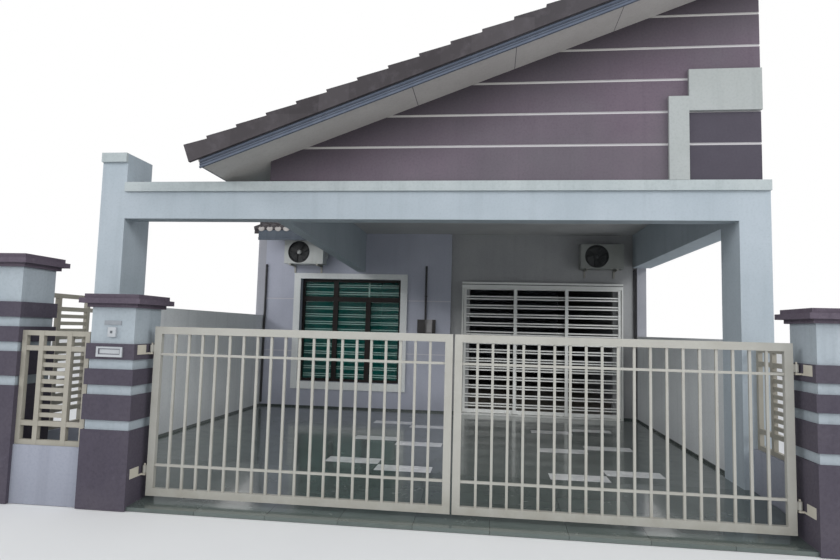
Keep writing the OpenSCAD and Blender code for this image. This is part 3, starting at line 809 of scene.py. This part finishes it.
def plug_seed():
    """Oval mortar plug that closes a roll at the eave; its face looks to -y."""
    n = 14
    turns = [2 * math.pi * k / n for k in range(n)]
    rim = [(0.053 * math.cos(a), 0.006 + 0.042 * math.sin(a)) for a in turns]
    verts = [(x, -0.006, z) for x, z in rim] + [(x, 0.02, z) for x, z in rim] + [(0, -0.011, 0.006)]
    faces = [(k, (k + 1) % n, 2 * n) for k in range(n)]
    faces += [((k + 1) % n, k, n + k, n + (k + 1) % n) for k in range(n)]
    faces += [tuple(range(2 * n - 1, n - 1, -1))]
    return add_mesh("plug_seed", verts, faces)


def lowered_copy(node, height):
    """A merged copy of a roof plate whose top plane is DROP lower, to carry the tiles."""
    near_top = 0.004
    bm = bmesh.new()
    bm.from_mesh(NODES[node].data)
    bmesh.ops.remove_doubles(bm, verts=bm.verts, dist=1e-5)
    for v in bm.verts:
        if abs(v.co.z - height(v.co)) < near_top:
            v.co.z -= DROP
    return bm


def cut(bm, where, outward):
    """Take away what lies beyond a plane and close the cut."""
    whole = bm.verts[:] + bm.edges[:] + bm.faces[:]
    done = bmesh.ops.bisect_plane(bm, geom=whole, dist=1e-5, plane_co=where, plane_no=outward,
                                  clear_outer=True)
    edges = [g for g in done["geom_cut"] if isinstance(g, bmesh.types.BMEdge) and g.is_boundary]
    bmesh.ops.holes_fill(bm, edges=edges, sides=0)


def laid_on(seed, pattern, place, columns, rows=1, cuts=()):
    """Lay copies of the seed, move each point with place(), and trim them."""
    ob = pattern.lay("laid", seed, Columns=columns, Rows=rows)
    bm = bmesh.new()
    bm.from_mesh(ob.data)
    drop(ob)
    for v in bm.verts:
        v.co = place(v.co)
    for where, outward in cuts:
        cut(bm, where, outward)
    return bm


def house_piece(name, parts, mat, smooth=False):
    """Join the parts into one mesh that rides on the house."""
    whole = bmesh.new()
    for bm in parts:
        part = bpy.data.meshes.new("part")
        bm.to_mesh(part)
        bm.free()
        whole.from_mesh(part)
        bpy.data.meshes.remove(part)
    bmesh.ops.recalc_face_normals(whole, faces=whole.faces)
    me = bpy.data.meshes.new(name)
    whole.to_mesh(me)
    whole.free()
    me.materials.append(mat)
    for q in me.polygons:
        q.material_index = 0
        q.use_smooth = smooth
    ob = show(name, me)
    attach(ob, "house")
    return ob


def in_and_up(q):
    """How far a tile's point lies in from the eave and above it."""
    level = 1.0 / SLOPE
    return (q.y - q.z * PITCH) * level, (q.y * PITCH + q.z) * level


class RoofPlan:
    """The roofs' places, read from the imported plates, and where a tile's points go on each slope."""

    def __init__(self):
        self.low, self.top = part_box("main_roof_front")
        self.back_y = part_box("main_roof_back")[1].y
        self.g_low, self.g_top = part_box("gable_deck")
        self.wall_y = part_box("window_wall")[0].y
        self.party_x = self.g_top.x - WALL / 2
        self.party_in = self.g_top.x - WALL
        # the main slope and the gable's meet where x - y is this
        self.valley = (self.top.z - self.g_top.z) / PITCH + self.party_x - self.top.y
        self.eave_z = self.top.z - PITCH * (self.top.y - self.low.y) - DROP
        self.g_eave_z = self.g_top.z - PITCH * (self.party_x - self.g_low.x) - DROP

    def main_height(self, v):
        return self.top.z - PITCH * abs(self.top.y - v.y)

    def gable_height(self, v):
        return self.g_top.z - PITCH * abs(self.party_x - v.x)

    def on_front(self, q):
        inward, rise = in_and_up(q)
        return Vector((TILES_LEFT + q.x, self.low.y + inward, self.eave_z + rise))

    def on_back(self, q):
        inward, rise = in_and_up(q)
        return Vector((TILES_LEFT + q.x, self.back_y - inward, self.eave_z + rise))

    def on_gable(self, q):
        inward, rise = in_and_up(q)
        return Vector((self.g_low.x + inward, self.g_low.y + q.x, self.g_eave_z + rise))


def lay_tiles(plan, tile):
    """Replace each roof plate by a lower plate with its courses of tiles."""
    low, top, g_low, g_top = plan.low, plan.top, plan.g_low, plan.g_top
    seed, laid = tile_seed(), grid_pattern("tile_courses", tile, 2 * ROLL, COURSE)
    columns = math.ceil((g_top.x - TILES_LEFT) / (2 * ROLL))
    rows = math.ceil((top.y - low.y) * SLOPE / COURSE)
    g_columns = math.ceil((plan.party_x - plan.valley - g_low.y) / (2 * ROLL))
    g_rows = math.ceil((plan.party_x - g_low.x) * SLOPE / COURSE)

    to_left, to_right = (-1, 0, 0), (1, 0, 0)
    to_front, to_back = (0, -1, 0), (0, 1, 0)
    valley, off_gable = Vector((plan.valley, 0, 0)), Vector((1, -1, 0)).normalized()
    crest = Vector((0, top.y - CREST_HALF, 0))
    wall = (0, plan.wall_y, 0)
    sides = [((-plan.party_in - WALL, 0, 0), to_left), ((g_top.x, 0, 0), to_right)]
    over_house = sides + [(wall, to_front), (valley, off_gable), (crest, to_back)]
    over_eave = [(wall, to_back), ((-plan.party_in, 0, 0), to_left), (valley, off_gable)]
    behind = sides + [(crest + Vector((0, 2 * CREST_HALF, 0)), to_front),
                      ((0, plan.back_y + BACK_OVER, 0), to_back)]
    over_porch = [((plan.party_x - RIDGE_HALF, 0, 0), to_right), (valley, -off_gable)]

    front = [lowered_copy("main_roof_front", plan.main_height),
             laid_on(seed, laid, plan.on_front, columns, rows, over_house),
             laid_on(seed, laid, plan.on_front, columns, EAVE_ROWS, over_eave)]
    back = [lowered_copy("main_roof_back", plan.main_height),
            laid_on(seed, laid, plan.on_back, columns, rows, behind)]
    gable = [lowered_copy("gable_deck", plan.gable_height),
             laid_on(seed, laid, plan.on_gable, g_columns, g_rows, over_porch)]
    drop(seed)
    for name, parts, node in (("tiles_main_front", front, "main_roof_front"),
                              ("tiles_main_back", back, "main_roof_back"),
                              ("tiles_gable", gable, "gable_deck")):
        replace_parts(house_piece(name, parts, tile), node)
    return columns


def plug_eaves(plan, columns):
    """Close each roll with mortar along the front eave, the back eave and the gable's."""
    mortar = finish_mortar().mat
    seed, laid = plug_seed(), grid_pattern("eave_plugs", mortar, ROLL, COURSE)
    low, g_low = plan.low, plan.g_low
    crown = ROUND / 2 * ROLL
    skipped = math.ceil((-plan.party_in - TILES_LEFT - crown) / ROLL)

    def in_front(q):
        along = TILES_LEFT + crown + skipped * ROLL + q.x
        return Vector((along, low.y - PLUG_OUT + q.y, plan.eave_z + q.z))

    def behind(q):
        along = TILES_LEFT + crown + ROLL + q.x
        return Vector((along, plan.back_y + PLUG_OUT_BACK - q.y, plan.eave_z + q.z))

    def beside(q):
        return Vector((g_low.x - PLUG_OUT + q.y, g_low.y + crown + q.x, plan.g_eave_z + q.z))

    plugs = [laid_on(seed, laid, in_front, int((g_low.x + plan.party_in) / ROLL)),
             laid_on(seed, laid, behind, 2 * columns - 2),
             laid_on(seed, laid, beside, int((g_low.x - plan.valley - g_low.y) / ROLL))]
    drop(seed)
    house_piece("eave_plugs", plugs, mortar)


def tile_roofs(mats):
    plan = RoofPlan()
    columns = lay_tiles(plan, mats["roof_tile"])
    plug_eaves(plan, columns)


# outdoor units: guard, blades, hub and drum in each round opening
UNIT_WIDE = 0.73        # a unit's case
UNIT_TALL = 0.41
FAN_X = 0.262           # middle of the opening from the unit's left side
STEP_BACK = 0.06        # the right unit hangs on the wall that stands back
# radius and depth of the turned pieces, from the front to the back
HUB = [(0, 0.008), (0.022, 0.0085), (0.036, 0.012), (0.041, 0.020), (0.041, 0.052), (0, 0.052)]
DRUM = [(0, 0.0575), (0.1935, 0.0575), (0.1935, 0.0005), (0.1945, 0.0005), (0.1945, 0.0595), (0, 0.0595)]


def fan_middles():
    low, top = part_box("ac_units")
    left = Vector((low.x + FAN_X, low.y, top.z - UNIT_TALL / 2))
    right = Vector((top.x - UNIT_WIDE + FAN_X, low.y + STEP_BACK, low.z + UNIT_TALL / 2))
    return left, right


def guard_pattern(mat):
    """Rings of round wire, spaced evenly, and spokes across them; it lies in the xz plane."""
    g = Pattern("fan_guard", Rings=9, Spokes=8, Radius=0.191, Wire=0.0016)
    index = g.add("GeometryNodeInputIndex")
    still = ("Offset", (0.0, 0.0, 0.0))

    ring_places = g.add("GeometryNodeMeshLine", (0, g.size("Rings")), still)
    ring_points = g.add("GeometryNodeMeshToPoints", (0, ring_places))
    ring = g.add("GeometryNodeCurvePrimitiveCircle", (0, 40), ("Radius", 1.0))
    step = g.calc("DIVIDE", g.size("Radius"), g.size("Rings"))
    grow = g.calc("MULTIPLY", g.calc("ADD", index, 1.0), step)
    rings = g.add("GeometryNodeInstanceOnPoints", ("Points", ring_points), ("Instance", ring),
                  ("Rotation", (math.pi / 2, 0.0, 0.0)), ("Scale", g.xyz(grow, grow, 1.0)))

    spoke_places = g.add("GeometryNodeMeshLine", (0, g.size("Spokes")), still)
    spoke_points = g.add("GeometryNodeMeshToPoints", (0, spoke_places))
    spoke = g.add("GeometryNodeCurvePrimitiveLine", ("Start", (0.03, 0.0, 0.0)),
                  ("End", g.xyz(g.size("Radius"))))
    angle = g.calc("DIVIDE", g.calc("MULTIPLY", index, 2 * math.pi), g.size("Spokes"))
    spokes = g.add("GeometryNodeInstanceOnPoints", ("Points", spoke_points), ("Instance", spoke),
                   ("Rotation", g.xyz(0.0, angle, 0.0)))

    lines = g.add("GeometryNodeJoinGeometry")
    for made in (rings, spokes):
        g.put(lines.node.inputs[0], g.add("GeometryNodeRealizeInstances", (0, made)))
    wire = g.add("GeometryNodeCurvePrimitiveCircle", (0, 6), ("Radius", g.size("Wire")))
    tube = g.add("GeometryNodeCurveToMesh", (0, lines), (1, wire), ("Fill Caps", True))
    g.finish(tube, mat)
    return g


def fan_blade(bm, middle, turn):
    """One pitched blade, swept back and cambered, as a thin closed skin."""
    inner, outer, skin = 0.04, 0.173, 0.003
    rings = []
    for k in range(7):
        r = inner + (outer - inner) * k / 6
        half = math.radians(34 + 10 * k / 6)
        lean = math.radians(9 * k / 6)
        row = []
        for j in range(7):
            side = j / 3 - 1
            a = turn + lean + half * side
            depth = 0.026 + 0.020 * side * (1 - 0.3 * k / 6) + 0.006 * math.cos(side * math.pi / 2)
            faces = [Vector((r * math.cos(a), depth + d, r * math.sin(a))) for d in (0, skin)]
            row.append([bm.verts.new(middle + v) for v in faces])
        rings.append(row)
    for k in range(6):
        for j in range(6):
            for s in (0, 1):
                q = [rings[k][j][s], rings[k + 1][j][s], rings[k + 1][j + 1][s], rings[k][j + 1][s]]
                bm.faces.new(q if s else q[::-1])
    rim = [(0, j) for j in range(7)] + [(k, 6) for k in range(1, 7)] + [(6, j) for j in range(5, -1, -1)]
    rim += [(k, 0) for k in range(5, 0, -1)]
    for (a, b), (c, d) in zip(rim, rim[1:] + rim[:1]):
        bm.faces.new((rings[a][b][0], rings[c][d][0], rings[c][d][1], rings[a][b][1]))


def turned(bm, middle, profile, parts=40):
    """Revolve a profile of (radius, depth) about the y axis through middle."""
    turns = [2 * math.pi * k / parts for k in range(parts)]
    rows = []
    for r, y in profile:
        if r < 1e-6:
            rows.append([bm.verts.new(middle + Vector((0, y, 0)))])
        else:
            ring = [Vector((r * math.cos(a), y, r * math.sin(a))) for a in turns]
            rows.append([bm.verts.new(middle + v) for v in ring])
    for a, b in zip(rows, rows[1:]):
        for k in range(parts):
            n = (k + 1) % parts
            ring = [a[k % len(a)], a[n % len(a)], b[n % len(b)], b[k % len(b)]]
            bm.faces.new([v for i, v in enumerate(ring) if v not in ring[:i]])


def fit_fans(mats):
    """Guards, blades, hubs and drums; the right hub takes the blades' dark finish as painted shade."""
    wire, dark = finish_guard_wire().mat, finish_fan_black().mat
    blades, hubs, drums, guards = bmesh.new(), bmesh.new(), bmesh.new(), bmesh.new()
    seed = add_mesh("guard_seed", [(0, 0, 0)], [])
    laid = guard_pattern(wire).lay("laid", seed)
    for middle in fan_middles():
        part = laid.data.copy()
        part.transform(Matrix.Translation(middle + Vector((0, 0.004, 0))))
        guards.from_mesh(part)
        bpy.data.meshes.remove(part)
        for k in range(3):
            fan_blade(blades, middle, math.radians(90 + 120 * k))
        # painted shade: the right unit's hub is built into the dark blades' mesh
        turned(hubs if middle.x < 0 else blades, middle, HUB)
        turned(drums, middle, DRUM, 64)
    drop(laid)
    drop(seed)
    house_piece("fan_guards", [guards], wire)
    house_piece("fan_blades", [blades], dark, smooth=True)
    house_piece("fan_hubs", [hubs], mats["ac_white"], smooth=True)
    house_piece("fan_drums", [drums], dark)


def build():
    aim_camera()
    light_studio()
    lay_floor()
    mats = dress_nodes()
    tile_roofs(mats)
    fit_fans(mats)


build()
